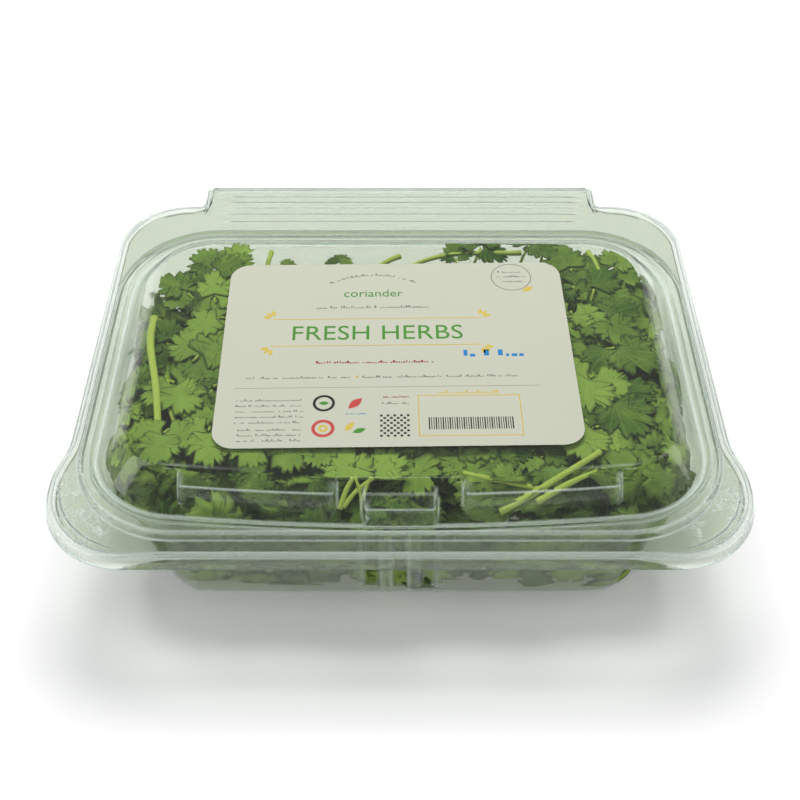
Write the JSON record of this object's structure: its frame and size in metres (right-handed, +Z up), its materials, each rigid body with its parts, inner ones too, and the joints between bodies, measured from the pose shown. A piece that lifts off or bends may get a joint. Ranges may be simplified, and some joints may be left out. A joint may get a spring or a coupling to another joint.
{
  "type": "coriander sprigs in a clear hinged box",
  "caption": "Clear thermoformed box with a hinged domed lid and a paper label, packed with cut coriander sprigs of lobed leaves on long stems.",
  "frame": {"origin": "on the flat underside of the tray's floor, below the middle of its width and 9 mm behind the middle of its depth", "axes": "+Z up, +X to the right when facing the front, +Y towards the rear hinge; the box opens at -Y"},
  "size_m": [0.218, 0.1798, 0.0585],
  "materials": {
    "clear_plastic": "clear thin thermoformed PET sheet with a faint green tint",
    "paper_label": null,
    "stem_green": "juicy pale yellow-green plant stem, slightly glossy",
    "leaf_green": "thin soft coriander leaf, satin"
  },
  "bodies": {
    "base": {"base_tray": "clear_plastic", "hinge_fold": "clear_plastic", "sprig_01_stem": "stem_green", "sprig_01_leaf_a": "leaf_green", "sprig_01_leaf_b": "leaf_green", "sprig_01_leaf_c": "leaf_green", "sprig_02_stem": "stem_green", "sprig_02_leaf_a": "leaf_green", "sprig_02_leaf_b": "leaf_green", "sprig_02_leaf_c": "leaf_green", "sprig_03_stem": "stem_green", "sprig_03_leaf_a": "leaf_green", "sprig_03_leaf_b": "leaf_green", "sprig_03_leaf_c": "leaf_green", "sprig_04_stem": "stem_green", "sprig_04_leaf_a": "leaf_green", "sprig_04_leaf_b": "leaf_green", "sprig_04_leaf_c": "leaf_green", "sprig_05_stem": "stem_green", "sprig_05_leaf_a": "leaf_green", "sprig_05_leaf_b": "leaf_green", "sprig_05_leaf_c": "leaf_green", "sprig_06_stem": "stem_green", "sprig_06_leaf_a": "leaf_green", "sprig_06_leaf_b": "leaf_green", "sprig_06_leaf_c": "leaf_green", "sprig_07_stem": "stem_green", "sprig_07_leaf_a": "leaf_green", "sprig_07_leaf_b": "leaf_green", "sprig_07_leaf_c": "leaf_green", "sprig_08_stem": "stem_green", "sprig_08_leaf_a": "leaf_green", "sprig_08_leaf_b": "leaf_green", "sprig_08_leaf_c": "leaf_green", "sprig_09_stem": "stem_green", "sprig_09_leaf_a": "leaf_green", "sprig_09_leaf_b": "leaf_green", "sprig_09_leaf_c": "leaf_green", "sprig_10_stem": "stem_green", "sprig_10_leaf_a": "leaf_green", "sprig_10_leaf_b": "leaf_green", "sprig_10_leaf_c": "leaf_green", "sprig_11_stem": "stem_green", "sprig_11_leaf_a": "leaf_green", "sprig_11_leaf_b": "leaf_green", "sprig_11_leaf_c": "leaf_green", "sprig_12_stem": "stem_green", "sprig_12_leaf_a": "leaf_green", "sprig_12_leaf_b": "leaf_green", "sprig_12_leaf_c": "leaf_green", "sprig_13_stem": "stem_green", "sprig_13_leaf_a": "leaf_green", "sprig_13_leaf_b": "leaf_green", "sprig_13_leaf_c": "leaf_green"},
    "lid": {"hinged_lid": "clear_plastic", "paper_label": "paper_label"}
  },
  "joints": [
    {"name": "lid_hinge", "type": "hinge", "parent": "base", "child": "lid", "pos_m": [0, 0.0913, 0.04615], "axis": [-1, 0, 0], "range_deg": [0, 180]}
  ]
}
